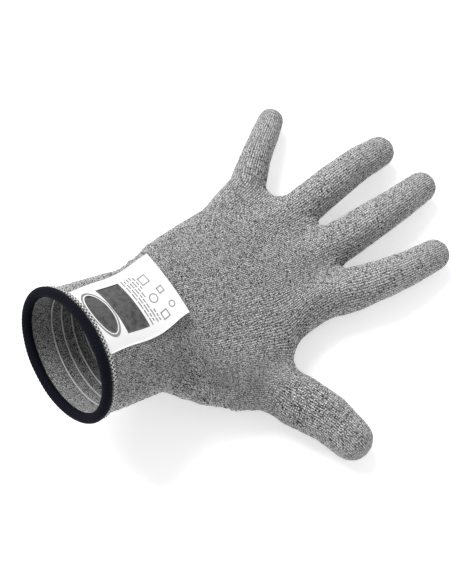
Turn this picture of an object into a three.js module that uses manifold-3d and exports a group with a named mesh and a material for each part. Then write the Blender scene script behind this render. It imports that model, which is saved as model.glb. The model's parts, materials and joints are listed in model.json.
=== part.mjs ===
// A seamless knitted work glove for the left hand, in the shape it takes when it is worn:
// palm down, fingers spread, with the cuff rising from the wrist and a woven label at its hem.
// Millimetres. +X runs along the hand to the fingertips, +Y to the little finger and +Z up.
// The origin is at the centre of the flat underside of the palm, which rests on the bench.
import * as THREE from "three";
import { ConvexGeometry } from "three/addons/geometries/ConvexGeometry.js";
import { mergeVertices } from "three/addons/utils/BufferGeometryUtils.js";
import Module from "manifold-3d";

const wasm = await Module();
wasm.setup();

// ---- Driving dimensions -------------------------------------------------------------------

const WALL = 1.2; // thickness of the knit
const GAP = 0.35; // each cut face stands this far back from its flex line
const SPREAD_SHARE = 1.15; // a root band takes the whole of its spread cut, and a little more
const TUBE_SIDES = 16; // facets around a finger
const BALL_DETAIL = 1; // subdivision of the balls that shape the palm
const FINGER_FLATNESS = 0.94; // height of a finger section over its width

// Where each finger leaves the palm, which way its three phalanges point (degrees from +X) and
// how long they are. "heights" are the centre line's at the root, two knuckles and tip, and
// "radii" go with them. "rootBand" is the knit between the crotch and the first flex line.
const FINGERS = [
  {
    name: "little",
    root: [30.2, 50.6],
    yaw: [43, 41, 42],
    lengths: [15.4, 16.4, 14.6],
    heights: [12.5, 14.5, 12.5, 8.6],
    radii: [9.2, 8.8, 8.2, 7.5],
    spread: [-28, 4],
    rootBand: 6.8,
    flex: { mcp: [-12, 50], pip: [0, 46], dip: [0, 30] },
  },
  {
    name: "ring",
    root: [46.9, 22.7],
    yaw: [9, 11, 8],
    lengths: [22.6, 20.5, 16.9],
    heights: [13, 16, 14, 9.8],
    radii: [10.9, 10.1, 9.4, 8.6],
    spread: [-8, 6],
    rootBand: 8,
    flex: { mcp: [-12, 65], pip: [0, 65], dip: [0, 35] },
  },
  {
    name: "middle",
    root: [51.3, -5.1],
    yaw: [1, 7, 11],
    lengths: [21.9, 19.9, 21.4],
    heights: [13.4, 16.4, 14.4, 9.8],
    radii: [11.4, 10.2, 9.2, 8.5],
    spread: null,
    rootBand: 8,
    flex: { mcp: [-12, 65], pip: [0, 65], dip: [0, 35] },
  },
  {
    name: "index",
    root: [41, -31.9],
    yaw: [-14, -4, 3],
    lengths: [18, 17.8, 18.2],
    heights: [13.4, 16, 14, 9.6],
    radii: [11.8, 10.4, 9.2, 8.4],
    spread: [-6, 11],
    rootBand: 6.6,
    flex: { mcp: [-12, 60], pip: [0, 48], dip: [0, 30] },
  },
];

// The thumb lies flat beside the palm, and bends about axes rolled towards the index finger.
const THUMB = {
  root: [-19, -62.9],
  yaw: [-60, -61, -72],
  lengths: [11.8, 13.6, 16.2],
  heights: [15.5, 15.5, 14, 11.5],
  radii: [14, 13.7, 12.8, 10.8],
  swing: [-12, 25],
  mp: [-8, 35],
  ip: [-5, 50],
  flexRoll: 50,
};

// Balls whose hulls make the palm: centre x, y, z and radius.
const PALM_BALLS = {
  wristUlnar: [-56, 9.5, 28, 23],
  wristRadial: [-57, -20, 28, 22.5],
  hypothenar: [-33, 24.5, 17.5, 19],
  thenar: [-35, -43.2, 17, 19.7],
  thumbBase: [-54, -38, 23, 15.5],
  littleMid: [2, 36, 12.5, 13.2],
  littleSide: [16, 44.5, 12.5, 10.5],
  ringMid: [4, 16, 14.5, 16],
  middleMid: [4, -8, 14.5, 16.5],
  indexMid: [-3, -29.5, 14.5, 15.5],
  thumbWeb: [-17, -42, 15.5, 12.5],
};
const KNUCKLE_SETBACK = 1.0; // of the finger's radius, from the crotch line back to the knuckle ball
const PALM_SPLIT_X = -6; // the course where the five-finger body ends and the four-finger body begins
const SPLIT_GAP = 0.3;

// The cuff is an oval sleeve along an axis that rises from the wrist. It narrows from the wrist to
// its waist, and then runs on evenly to the hem. "lean" is how far the middle of the oval lies
// towards the little finger's side.
const WRIST = [-55, -6, 28];
const CUFF = {
  pitch: 32,
  yaw: 3,
  length: 57,
  waistAt: 13,
  wrist: { halfWidth: 44.3, halfHeight: 23.5, lean: -5.6 },
  waist: { halfWidth: 33.2, halfHeight: 24.1, lean: 1.4 },
  hem: { halfWidth: 33.2, halfHeight: 25.2, lean: 0.5 },
  flareSteps: 5,
  sides: 28,
};
const WRIST_FLEX = [-50, 16];
const HEM = { radius: 2.3, steps: 40, sides: 6 };
const CHAIN = { stitches: 26, stepsPerStitch: 4, sway: 0.55, radius: 0.5, sides: 3, gap: 0.35 };
const ELASTIC = { turns: 5, stepsPerTurn: 16, radius: 0.45, gap: 0.35, from: 20, to: 50 };
const LABEL = {
  width: 38,
  length: 53,
  thickness: 0.5,
  centreAngle: 0.5,
  skew: 9,
  bendRadius: 46,
  rise: 3.5,
  clearance: 1,
  lift: [0, 150],
  steps: 8,
};

// ---- Materials ----------------------------------------------------------------------------

const knitGrey = () => new THREE.MeshStandardMaterial({ color: 0x969698, roughness: 0.95 });
const hemNavy = () => new THREE.MeshStandardMaterial({ color: 0x0c0e1a, roughness: 0.9 });
const threadWhite = () => new THREE.MeshStandardMaterial({ color: 0xd8d8d4, roughness: 0.8 });
const satinWhite = () => new THREE.MeshStandardMaterial({ color: 0xf4f4f2, roughness: 0.45 });
const elasticWhite = () => new THREE.MeshStandardMaterial({ color: 0xbfc0c2, roughness: 0.7 });

// ---- Solids -------------------------------------------------------------------------------

const UP = new THREE.Vector3(0, 0, 1);
const radians = THREE.MathUtils.degToRad;

function toSolid(geometry) {
  const bare = new THREE.BufferGeometry();
  bare.setAttribute("position", geometry.getAttribute("position").clone());
  bare.setIndex(geometry.getIndex());
  const merged = mergeVertices(bare, 1e-4);
  const triangles = [];
  const index = merged.getIndex().array;
  for (let i = 0; i < index.length; i += 3) {
    const [a, b, c] = [index[i], index[i + 1], index[i + 2]];
    if (a !== b && b !== c && c !== a) {
      triangles.push(a, b, c);
    }
  }
  const mesh = new wasm.Mesh({
    numProp: 3,
    vertProperties: new Float32Array(merged.getAttribute("position").array),
    triVerts: new Uint32Array(triangles),
  });
  return new wasm.Manifold(mesh);
}

function toGeometry(solid) {
  const mesh = solid.getMesh();
  const geometry = new THREE.BufferGeometry();
  geometry.setAttribute("position", new THREE.BufferAttribute(mesh.vertProperties, 3));
  geometry.setIndex(new THREE.BufferAttribute(mesh.triVerts, 1));
  geometry.computeVertexNormals();
  return geometry;
}

function named(name, geometry, material) {
  const mesh = new THREE.Mesh(geometry, material);
  mesh.name = name;
  return mesh;
}

// Keeps the part of a solid on the side of the plane that its normal points to.
function keepBeyond(solid, point, normal, setback) {
  return solid.trimByPlane(normal.toArray(), normal.dot(point) + setback);
}

// ---- Flex lines ---------------------------------------------------------------------------

// A hinge turns the far piece about "axis". "along" points from the near piece to the far one,
// and a positive turn closes the side that "along cross axis" points away from.
function hinge(name, point, along, axis, range) {
  const side = along.clone().cross(axis).normalize();
  return { name, point, along, axis, side, range };
}

// Cuts a piece back from a hinge so that both pieces clear each other over the whole range.
// "facing" is 1 for the far piece and -1 for the near one, and each share is this piece's part
// of the cut on that side.
function cutBack(solid, joint, facing, closingShare, openingShare = closingShare) {
  const closing = radians(joint.range[1]) * closingShare;
  const opening = radians(-joint.range[0]) * openingShare;
  const away = joint.along.clone().multiplyScalar(facing);
  const tilt = (angle, sign) =>
    away
      .clone()
      .multiplyScalar(Math.cos(angle))
      .addScaledVector(joint.side, sign * Math.sin(angle));
  const trimmed = keepBeyond(solid, joint.point, tilt(closing, 1), GAP);
  return keepBeyond(trimmed, joint.point, tilt(opening, -1), GAP);
}

// ---- Fingers ------------------------------------------------------------------------------

// The centre line's points, from the root through two knuckles to the tip.
function fingerLine(spec) {
  const points = [new THREE.Vector3(spec.root[0], spec.root[1], spec.heights[0])];
  spec.lengths.forEach((length, i) => {
    const yaw = radians(spec.yaw[i]);
    const drop = spec.heights[i + 1] - spec.heights[i];
    const flat = Math.sqrt(length * length - drop * drop);
    const step = new THREE.Vector3(flat * Math.cos(yaw), flat * Math.sin(yaw), drop);
    points.push(points[i].clone().add(step));
  });
  return points;
}

const direction = (from, to) => to.clone().sub(from).normalize();
const bisector = (a, b) => a.clone().add(b).normalize();

// The axis that bends a finger towards the palm: level, or rolled about the finger.
function flexAxis(along, roll = 0) {
  const level = UP.clone().cross(along).normalize();
  const upright = along.clone().cross(level).normalize();
  const tilt = radians(roll);
  return level.multiplyScalar(Math.cos(tilt)).addScaledVector(upright, Math.sin(tilt)).normalize();
}

// A lathed piece has its axis along Y: this turns it to run from a point along a direction.
function alongDirection(geometry, from, along) {
  const level = UP.clone().cross(along).normalize();
  const underside = level.clone().cross(along);
  const basis = new THREE.Matrix4().makeBasis(level, along, underside);
  basis.setPosition(from);
  return geometry.applyMatrix4(basis);
}

// A hollow section of a finger between two points, run on past both so that it can be cut back.
function fingerTube(from, to, radiusFrom, radiusTo, capped) {
  const span = from.distanceTo(to);
  const slope = (radiusTo - radiusFrom) / span;
  const start = -radiusFrom;
  const end = capped ? span : span + radiusTo;
  const radiusAt = (s) => radiusFrom + slope * s;
  const profile = [new THREE.Vector2(radiusAt(start) - WALL, start)];
  profile.push(new THREE.Vector2(radiusAt(start), start));
  profile.push(new THREE.Vector2(radiusAt(end), end));
  if (capped) {
    profile.push(...domeProfile(span, radiusTo));
    profile.push(...domeProfile(span, radiusTo - WALL).reverse());
  }
  profile.push(new THREE.Vector2(radiusAt(end) - WALL, end));
  profile.push(profile[0].clone());
  const lathe = new THREE.LatheGeometry(outwards(profile), TUBE_SIDES);
  lathe.scale(1, 1, FINGER_FLATNESS);
  return toSolid(alongDirection(lathe, from, direction(from, to)));
}

// A lathe's faces point out when its profile runs up the outside.
function outwards(profile) {
  let area = 0;
  for (let i = 1; i < profile.length; i += 1) {
    area += profile[i - 1].x * profile[i].y - profile[i].x * profile[i - 1].y;
  }
  return area > 0 ? profile : profile.reverse();
}

// The rounded end of a fingertip, from just inside its rim to the axis.
function domeProfile(base, radius) {
  const points = [];
  for (let step = 1; step <= 4; step += 1) {
    const angle = (Math.PI / 2) * (step / 4);
    const x = step === 4 ? 0 : radius * Math.cos(angle);
    points.push(new THREE.Vector2(x, base + radius * Math.sin(angle)));
  }
  return points;
}

// The four sections of a finger, with the hinges between them.
function fingerPieces(spec) {
  const [root, knuckle, farKnuckle, tip] = fingerLine(spec);
  const first = direction(root, knuckle);
  const second = direction(knuckle, farKnuckle);
  const third = direction(farKnuckle, tip);
  const base = root.clone().addScaledVector(first, spec.rootBand);
  const share = spec.rootBand / spec.lengths[0];
  const baseRadius = THREE.MathUtils.lerp(spec.radii[0], spec.radii[1], share);
  const level = first.clone().setZ(0).normalize();
  const spread = hinge(`${spec.name}_spread`, root, level, UP.clone(), spec.spread ?? [0, 0]);
  const mcp = hinge(`${spec.name}_mcp`, base, first, flexAxis(first), spec.flex.mcp);
  const pipAlong = bisector(first, second);
  const pip = hinge(`${spec.name}_pip`, knuckle, pipAlong, flexAxis(pipAlong), spec.flex.pip);
  const dipAlong = bisector(second, third);
  const dip = hinge(`${spec.name}_dip`, farKnuckle, dipAlong, flexAxis(dipAlong), spec.flex.dip);
  const [r0, r1, r2, r3] = spec.radii;
  let rootBand = cutBack(fingerTube(root, base, r0, baseRadius, false), spread, 1, SPREAD_SHARE);
  rootBand = cutBack(rootBand, mcp, -1, 0.5);
  let proximal = cutBack(fingerTube(base, knuckle, baseRadius, r1, false), mcp, 1, 0.5);
  proximal = cutBack(proximal, pip, -1, 0.5);
  let middle = cutBack(fingerTube(knuckle, farKnuckle, r1, r2, false), pip, 1, 0.5);
  middle = cutBack(middle, dip, -1, 0.5);
  const distal = cutBack(fingerTube(farKnuckle, tip, r2, r3, true), dip, 1, 0.5);
  const pieces = [
    named(`${spec.name}_root`, toGeometry(rootBand), knitGrey()),
    named(`${spec.name}_proximal`, toGeometry(proximal), knitGrey()),
    named(`${spec.name}_middle`, toGeometry(middle), knitGrey()),
    named(`${spec.name}_distal`, toGeometry(distal), knitGrey()),
  ];
  return { pieces, hinges: spec.spread ? [spread, mcp, pip, dip] : [mcp, pip, dip] };
}

function thumbPieces() {
  const [root, base, knuckle, tip] = fingerLine(THUMB);
  const first = direction(root, base);
  const second = direction(base, knuckle);
  const third = direction(knuckle, tip);
  const swing = hinge("thumb_swing", root, first, UP.clone(), THUMB.swing);
  const mpAlong = bisector(first, second);
  const mp = hinge("thumb_mp", base, mpAlong, flexAxis(mpAlong, THUMB.flexRoll), THUMB.mp);
  const ipAlong = bisector(second, third);
  const ip = hinge("thumb_ip", knuckle, ipAlong, flexAxis(ipAlong, THUMB.flexRoll), THUMB.ip);
  const [r0, r1, r2, r3] = THUMB.radii;
  let rootBand = cutBack(fingerTube(root, base, r0, r1, false), swing, 1, SPREAD_SHARE);
  rootBand = cutBack(rootBand, mp, -1, 0.5);
  let proximal = cutBack(fingerTube(base, knuckle, r1, r2, false), mp, 1, 0.5);
  proximal = cutBack(proximal, ip, -1, 0.5);
  const distal = cutBack(fingerTube(knuckle, tip, r2, r3, true), ip, 1, 0.5);
  const pieces = [
    named("thumb_root", toGeometry(rootBand), knitGrey()),
    named("thumb_proximal", toGeometry(proximal), knitGrey()),
    named("thumb_distal", toGeometry(distal), knitGrey()),
  ];
  return { pieces, hinges: [swing, mp, ip] };
}

// ---- Palm ---------------------------------------------------------------------------------

function hullOf(balls, shrink) {
  const points = [];
  const unit = new THREE.IcosahedronGeometry(1, BALL_DETAIL).getAttribute("position");
  for (const [x, y, z, radius] of balls) {
    for (let i = 0; i < unit.count; i += 1) {
      const point = new THREE.Vector3().fromBufferAttribute(unit, i);
      points.push(point.multiplyScalar(radius - shrink).add(new THREE.Vector3(x, y, z)));
    }
  }
  return toSolid(new ConvexGeometry(points));
}

// A short tube that carries the palm out to a finger's root, open at its far end when hollow.
function stub(spec, shrink) {
  const [root, next] = fingerLine(spec);
  const along = direction(root, next).setZ(0).normalize();
  const radius = spec.radii[0] - shrink;
  const reach = spec.radii[0] * 2;
  const end = shrink > 0 ? 1 : -GAP;
  const profile = [
    new THREE.Vector2(0, -reach),
    new THREE.Vector2(radius, -reach),
    new THREE.Vector2(radius, end),
    new THREE.Vector2(0, end),
  ];
  const lathe = new THREE.LatheGeometry(outwards(profile), TUBE_SIDES);
  lathe.scale(1, 1, FINGER_FLATNESS);
  return toSolid(alongDirection(lathe, root, along));
}

// The ball inside a finger's knuckle, behind its crotch line.
function knuckleBall(spec) {
  const [root, next] = fingerLine(spec);
  const back = direction(root, next).setZ(0).normalize().multiplyScalar(-KNUCKLE_SETBACK * spec.radii[0]);
  const centre = root.clone().add(back);
  return [centre.x, centre.y, centre.z, spec.radii[0] * FINGER_FLATNESS];
}

// The palm as one filled body, its skin moved in by "shrink".
function palmBody(shrink) {
  const b = PALM_BALLS;
  const mids = [b.littleMid, b.ringMid, b.middleMid, b.indexMid];
  const knuckles = FINGERS.map(knuckleBall);
  const bodies = [
    hullOf([...mids, ...knuckles, b.littleSide], shrink),
    hullOf([b.wristUlnar, b.wristRadial, b.hypothenar, ...mids], shrink),
    hullOf([b.wristRadial, b.thenar, knuckleBall(THUMB), b.thumbWeb], shrink),
    hullOf([b.wristRadial, b.thenar, knuckleBall(THUMB), b.thumbBase], shrink),
    hullOf([b.thenar, b.thumbWeb, b.indexMid], shrink),
    ...FINGERS.map((spec) => stub(spec, shrink)),
    stub(THUMB, shrink),
  ];
  const whole = bodies.reduce((sum, body) => sum.add(body));
  return whole.trimByPlane([0, 0, 1], shrink);
}

function wristHinge(frame) {
  const along = bisector(frame.along, new THREE.Vector3(-1, 0, 0));
  return hinge("wrist_flex", new THREE.Vector3(...WRIST), along, frame.lateral, WRIST_FLEX);
}

function palmPieces(frame) {
  const shell = palmBody(0).subtract(palmBody(WALL));
  const open = cutBack(shell, wristHinge(frame), -1, 1, 0.5);
  const upper = open.trimByPlane([1, 0, 0], PALM_SPLIT_X + SPLIT_GAP / 2);
  const lower = open.trimByPlane([-1, 0, 0], -PALM_SPLIT_X + SPLIT_GAP / 2);
  return [
    named("palm_upper", toGeometry(upper), knitGrey()),
    named("palm_lower", toGeometry(lower), knitGrey()),
  ];
}

// ---- Cuff ---------------------------------------------------------------------------------

// The cuff's own frame: "along" from the wrist to the hem, "lateral" to the little finger's
// side, and "dorsal" out of the back of the wrist.
function cuffFrame() {
  const pitch = radians(CUFF.pitch);
  const yaw = radians(CUFF.yaw);
  const along = new THREE.Vector3(
    -Math.cos(pitch) * Math.cos(yaw),
    -Math.cos(pitch) * Math.sin(yaw),
    Math.sin(pitch),
  );
  const lateral = along.clone().cross(UP).normalize();
  const dorsal = lateral.clone().cross(along).normalize();
  return { along, lateral, dorsal };
}

// The oval of the cuff's outside, at a distance from the wrist.
function cuffOval(distance) {
  const { wrist, waist, hem, waistAt, length } = CUFF;
  const flare = 1 - THREE.MathUtils.smoothstep(distance, 0, waistAt);
  const run = Math.max(0, distance - waistAt) / (length - waistAt);
  const at = (key) => {
    const sleeve = THREE.MathUtils.lerp(waist[key], hem[key], run);
    return THREE.MathUtils.lerp(sleeve, wrist[key], flare);
  };
  return { halfWidth: at("halfWidth"), halfHeight: at("halfHeight"), lean: at("lean") };
}

// A point on the cuff: a distance from the wrist, an angle from the back towards the little
// finger's side, and a height over the outside.
function cuffPoint(frame, distance, angle, height) {
  const { halfWidth, halfHeight, lean } = cuffOval(distance);
  return new THREE.Vector3(...WRIST)
    .addScaledVector(frame.along, distance)
    .addScaledVector(frame.lateral, lean + (halfWidth + height) * Math.sin(angle))
    .addScaledVector(frame.dorsal, (halfHeight + height) * Math.cos(angle));
}

// A closed ring or an open coil that follows the cuff's outline.
class CuffCurve extends THREE.Curve {
  constructor(frame, turns, distanceAt, heightAt) {
    super();
    Object.assign(this, { frame, turns, distanceAt, heightAt });
  }

  getPoint(t, target = new THREE.Vector3()) {
    const angle = 2 * Math.PI * this.turns * t;
    return target.copy(cuffPoint(this.frame, this.distanceAt(t), angle, this.heightAt(t)));
  }
}

function cuffSleeve(frame, from, to, shrink) {
  const profile = [new THREE.Vector2(0, from), new THREE.Vector2(1, from)];
  for (let step = 0; step <= CUFF.flareSteps; step += 1) {
    profile.push(new THREE.Vector2(1, (CUFF.waistAt * step) / CUFF.flareSteps));
  }
  profile.push(new THREE.Vector2(1, to), new THREE.Vector2(0, to));
  const lathe = new THREE.LatheGeometry(outwards(profile), CUFF.sides);
  const position = lathe.getAttribute("position");
  for (let i = 0; i < position.count; i += 1) {
    const point = new THREE.Vector3().fromBufferAttribute(position, i);
    const { halfWidth, halfHeight, lean } = cuffOval(point.y);
    position.setX(i, lean + point.x * (halfWidth - shrink));
    position.setZ(i, point.z * (halfHeight - shrink));
  }
  const basis = new THREE.Matrix4().makeBasis(frame.lateral, frame.along, frame.dorsal);
  basis.setPosition(new THREE.Vector3(...WRIST));
  return toSolid(lathe.applyMatrix4(basis));
}

function cuffPiece(frame) {
  const reach = CUFF.wrist.halfHeight;
  const outer = cuffSleeve(frame, -reach, CUFF.length, 0);
  const inner = cuffSleeve(frame, -reach - 1, CUFF.length + 1, WALL);
  const joint = wristHinge(frame);
  return named("wrist_cuff", toGeometry(cutBack(outer.subtract(inner), joint, 1, 0, 0.5)), knitGrey());
}

function loopTube(curve, steps, radius, sides) {
  return toGeometry(toSolid(new THREE.TubeGeometry(curve, steps, radius, sides, true)));
}

// The rolled binding at the cuff's open end.
function hemPiece(frame) {
  const distance = CUFF.length + HEM.radius + SPLIT_GAP;
  const curve = new CuffCurve(frame, 1, () => distance, () => -WALL / 2);
  return named("cuff_hem", loopTube(curve, HEM.steps, HEM.radius, HEM.sides), hemNavy());
}

// The overlock thread that chains around the cuff in front of the hem.
function chainPiece(frame) {
  const distance = CUFF.length - CHAIN.radius - CHAIN.sway;
  const sway = (t) => distance + CHAIN.sway * Math.sin(2 * Math.PI * CHAIN.stitches * t);
  const height = CHAIN.radius + CHAIN.gap;
  const curve = new CuffCurve(frame, 1, sway, () => height);
  const geometry = loopTube(curve, CHAIN.stitches * CHAIN.stepsPerStitch, CHAIN.radius, CHAIN.sides);
  return named("overlock_chain", geometry, threadWhite());
}

// The covered elastic yarn that is laid into the cuff in one long coil.
function elasticPiece(frame) {
  const distance = (t) => THREE.MathUtils.lerp(ELASTIC.from, ELASTIC.to, t);
  const height = () => -WALL - ELASTIC.gap - ELASTIC.radius;
  const curve = new CuffCurve(frame, ELASTIC.turns, distance, height);
  const r = ELASTIC.radius;
  const section = new THREE.Shape([
    new THREE.Vector2(r, 0),
    new THREE.Vector2(0, r),
    new THREE.Vector2(-r, 0),
    new THREE.Vector2(0, -r),
  ]);
  const options = { steps: ELASTIC.turns * ELASTIC.stepsPerTurn, extrudePath: curve };
  const geometry = toGeometry(toSolid(new THREE.ExtrudeGeometry(section, options)));
  return named("cuff_elastic_yarn", geometry, elasticWhite());
}

// ---- Label --------------------------------------------------------------------------------

// Where the label is stitched down, and how it lies: "along" runs from the stitches to the free
// end, skewed towards the little finger, "across" along the stitches and "out" off the cuff.
function labelFrame(frame) {
  const angle = radians(LABEL.centreAngle);
  const distance = CUFF.length - 2 * (CHAIN.radius + CHAIN.sway) - 1;
  const point = cuffPoint(frame, distance, angle, LABEL.clearance);
  const ahead = cuffPoint(frame, distance - LABEL.length, angle, LABEL.clearance + LABEL.rise);
  const straight = ahead.sub(point).projectOnPlane(frame.lateral).normalize();
  const across = frame.lateral.clone();
  const out = straight.clone().cross(across).normalize();
  const skew = radians(LABEL.skew);
  const along = straight.multiplyScalar(Math.cos(skew)).addScaledVector(across, Math.sin(skew));
  return { point, along, across, out };
}

// A thin sheet, bent across its width to follow the back of the wrist.
function labelPiece(frame) {
  const { point, along, across, out } = labelFrame(frame);
  const half = LABEL.width / 2 / LABEL.bendRadius;
  const arc = (radius, t) => {
    const angle = THREE.MathUtils.lerp(-half, half, t);
    return new THREE.Vector2(radius * Math.sin(angle), radius * Math.cos(angle) - LABEL.bendRadius);
  };
  const outline = [];
  for (let i = 0; i <= LABEL.steps; i += 1) {
    outline.push(arc(LABEL.bendRadius + LABEL.thickness, i / LABEL.steps));
  }
  for (let i = LABEL.steps; i >= 0; i -= 1) {
    outline.push(arc(LABEL.bendRadius, i / LABEL.steps));
  }
  const options = { depth: LABEL.length, bevelEnabled: false, steps: 1 };
  const sheet = new THREE.ExtrudeGeometry(new THREE.Shape(outline), options);
  const basis = new THREE.Matrix4().makeBasis(across, out, along);
  basis.setPosition(point);
  return named("label", toGeometry(toSolid(sheet.applyMatrix4(basis))), satinWhite());
}

function labelHinge(frame) {
  const { point, along, across, out } = labelFrame(frame);
  const axis = across.clone();
  if (axis.clone().cross(along).dot(out) < 0) {
    axis.negate();
  }
  return hinge("label_lift", point, along, axis, LABEL.lift);
}

// ---- Glove --------------------------------------------------------------------------------

const glove = new THREE.Group();
const cuff = cuffFrame();
const digits = [...FINGERS.map(fingerPieces), thumbPieces()];
glove.add(...palmPieces(cuff));
digits.forEach((digit) => glove.add(...digit.pieces));
glove.add(cuffPiece(cuff), hemPiece(cuff), chainPiece(cuff), elasticPiece(cuff), labelPiece(cuff));
glove.userData.hinges = [...digits.flatMap((digit) => digit.hinges), wristHinge(cuff), labelHinge(cuff)];

export default glove;
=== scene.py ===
"""A knitted cut-resistant glove: its looks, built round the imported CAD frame.

The knit is laid out as it comes off the knitting machine. Wales run from the hem up the hand and
into each finger, courses run round it, and the back and the palm side share the wales at the
edges. Lengths are in millimetres in the CAD's frame, and become metres as meshes are made.
"""

import json
import math
import random

import bpy
import numpy as np
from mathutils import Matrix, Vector


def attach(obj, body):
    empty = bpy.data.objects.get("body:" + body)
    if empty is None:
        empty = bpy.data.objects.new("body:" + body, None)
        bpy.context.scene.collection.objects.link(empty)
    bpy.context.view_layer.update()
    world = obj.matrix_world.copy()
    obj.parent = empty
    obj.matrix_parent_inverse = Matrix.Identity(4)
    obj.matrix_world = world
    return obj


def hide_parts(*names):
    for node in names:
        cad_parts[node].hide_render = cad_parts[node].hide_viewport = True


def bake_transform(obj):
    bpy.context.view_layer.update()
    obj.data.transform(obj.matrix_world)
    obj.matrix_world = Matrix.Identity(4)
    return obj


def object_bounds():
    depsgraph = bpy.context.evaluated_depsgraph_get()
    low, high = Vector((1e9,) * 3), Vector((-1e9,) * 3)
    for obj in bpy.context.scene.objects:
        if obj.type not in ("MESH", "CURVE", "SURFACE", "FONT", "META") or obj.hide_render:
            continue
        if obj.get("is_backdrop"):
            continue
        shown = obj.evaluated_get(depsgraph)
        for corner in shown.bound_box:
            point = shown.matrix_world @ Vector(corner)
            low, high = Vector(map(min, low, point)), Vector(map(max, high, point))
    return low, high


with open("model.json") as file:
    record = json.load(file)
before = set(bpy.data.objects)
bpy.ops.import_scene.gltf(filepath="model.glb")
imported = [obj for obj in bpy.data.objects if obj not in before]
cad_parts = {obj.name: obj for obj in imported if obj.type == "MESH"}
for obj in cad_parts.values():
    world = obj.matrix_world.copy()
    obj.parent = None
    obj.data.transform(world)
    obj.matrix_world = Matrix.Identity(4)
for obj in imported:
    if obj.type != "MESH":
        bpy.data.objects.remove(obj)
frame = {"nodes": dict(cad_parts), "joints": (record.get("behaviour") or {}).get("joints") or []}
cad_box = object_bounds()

MM = 0.001

# ---- The hand that fills the glove ----

RAYS = ["little", "ring", "middle", "index", "thumb"]
RADII = {
    "little": [9.9, 8.6, 7.9, 7.2],
    "ring": [10.9, 10.1, 9.4, 8.6],
    "middle": [11.4, 10.2, 9.2, 8.5],
    "index": [11.8, 10.4, 9.2, 8.4],
    "thumb": [13.9, 13.2, 12.2, 10.8],
}
# How far a digit's knit lies to one side of the hinges inside it.
LEAN = {"ring": (0, -1.2, 0), "middle": (0, -1.2, 0), "index": (0, -0.9, 0), "thumb": (-0.6, -0.1, 0)}
TRIM = {"little": 0.8, "ring": 1.2, "middle": 2.6, "index": 0.9, "thumb": 1.0}  # off each tip

# Balls that the palm's skin is stretched over: x, y, z and radius.
PALM = {
    "wrist_ulnar": (-56, 9.5, 28, 23),
    "wrist_radial": (-57, -20, 28, 22.5),
    "heel_ulnar": (-33, 24.5, 17.5, 19),
    "heel_thumb": (-35, -43.2, 17, 19.7),
    "thenar": (-54, -38, 23, 15.5),
    "thumb_heel": (-31.5, -50, 15.5, 15),
    "little_mid": (2, 36.0, 12.5, 13.2),
    "little_side": (16, 46.0, 12.5, 11.5),
    "ring_mid": (4, 16, 14.5, 16),
    "middle_mid": (4, -8, 14.5, 16.5),
    "index_mid": (-3, -29.5, 14.5, 15.5),
    "index_side": (22, -29.5, 13.8, 12.8),
    "thumb_web": (-17, -42, 15.5, 12.5),
}
# The skin's triangles: each fan has them between its first ball and every two that follow it.
FANS = [
    ("wrist_ulnar", "heel_ulnar", "little_mid", "ring_mid", "middle_mid", "wrist_radial"),
    ("index_mid", "middle_mid", "wrist_radial", "heel_thumb", "thumb_web"),
    ("heel_thumb", "wrist_radial", "thenar", "thumb_heel", "thumb_knuckle", "thumb_web"),
    ("heel_thumb", "index_mid", "thumb_knuckle"),
    ("little_mid", "little_side", "little_knuckle"),
    ("index_mid", "index_side", "index_knuckle"),
]
WEB_RADIUS = 6.0
WEB_AHEAD = {"little": -1.2, "ring": 2.0, "middle": 0.8}  # of the line between the two roots

# ---- The knit ----

WALES = [20, 23, 24, 24, 30]  # on each side, for each ray
COURSE = 1.05
HEM_ROW = -54
CUFF_ROW = -5  # from here to the hem the knit follows the cuff's oval
PALM_ROW = 8  # from here to the fingertips it follows the hand
THUMB_ROW = 58
CROTCH_ROW = 98
CROTCH_ROWS = [None, CROTCH_ROW, CROTCH_ROW, CROTCH_ROW, THUMB_ROW, None]
WALL = 1.1
BENCH_GAP = 0.05
RELIEF = 0.13  # height of a wale over the valleys beside it, halved
RELAX_ROUNDS = 60
RELAX_STRENGTH = 0.6
SETTLE_ROUNDS = 4
SETTLE_STRENGTH = 0.5
FAIR_ROUNDS = 45  # smooth away the joins between the shapes the knit is stretched over
FAIR_START = 14  # the row where that is at its full strength, after a rise over FAIR_RISE rows
FAIR_RISE = 14
FAIR_END = [84, 84, 84, 84, 59]  # the row on each ray where it starts to fade
FAIR_FALL = 8
WRIST_ROW = -1  # the knit is smoothed further about this row
WRIST_SPREAD = 12
WRIST_ROUNDS = 40
WRIST_STRENGTH = 0.8

# The cuff's oval, from the wrist to the hem.
WRIST = np.array([-55.0, -6.0, 28.0])
CUFF_PITCH = math.radians(32)
CUFF_YAW = math.radians(3)
CUFF_LENGTH = 57.0
# The oval's half width and half height, and how far its middle lies towards the little finger. It
# narrows from the wrist to its waist, and then runs on evenly to the hem.
CUFF_WRIST = np.array([44.3, 23.5, -5.6])
CUFF_WAIST = np.array([33.2, 24.1, 1.4])
CUFF_HEM = np.array([33.2, 25.2, 0.5])
WAIST_AT = 13.0

UP = np.array([0.0, 0.0, 1.0])


def unit(vector):
    return vector / np.linalg.norm(vector)


def bell(offset, width):
    """1 where the offset is 0, falling off smoothly on both sides."""
    return np.exp(-((offset / width) ** 2))


def smooth_step(share):
    """From 0 to 1, level at both ends."""
    return share * share * (3 - 2 * share)


def full_turn(steps):
    return np.linspace(0, 2 * math.pi, steps, endpoint=False)


def arc_lengths(points):
    """How far along a polyline each of its points is."""
    return np.append(0, np.cumsum(np.linalg.norm(np.diff(points, axis=0), axis=1)))


def along_line(points, at):
    """The places at distances along a polyline."""
    return np.stack([np.interp(at, arc_lengths(points), axis) for axis in points.T], -1)


# ---- Skeleton, from the frame ----

JOINTS = {joint["name"]: np.array(joint["pos_m"]) / MM for joint in frame["joints"]}


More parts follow.
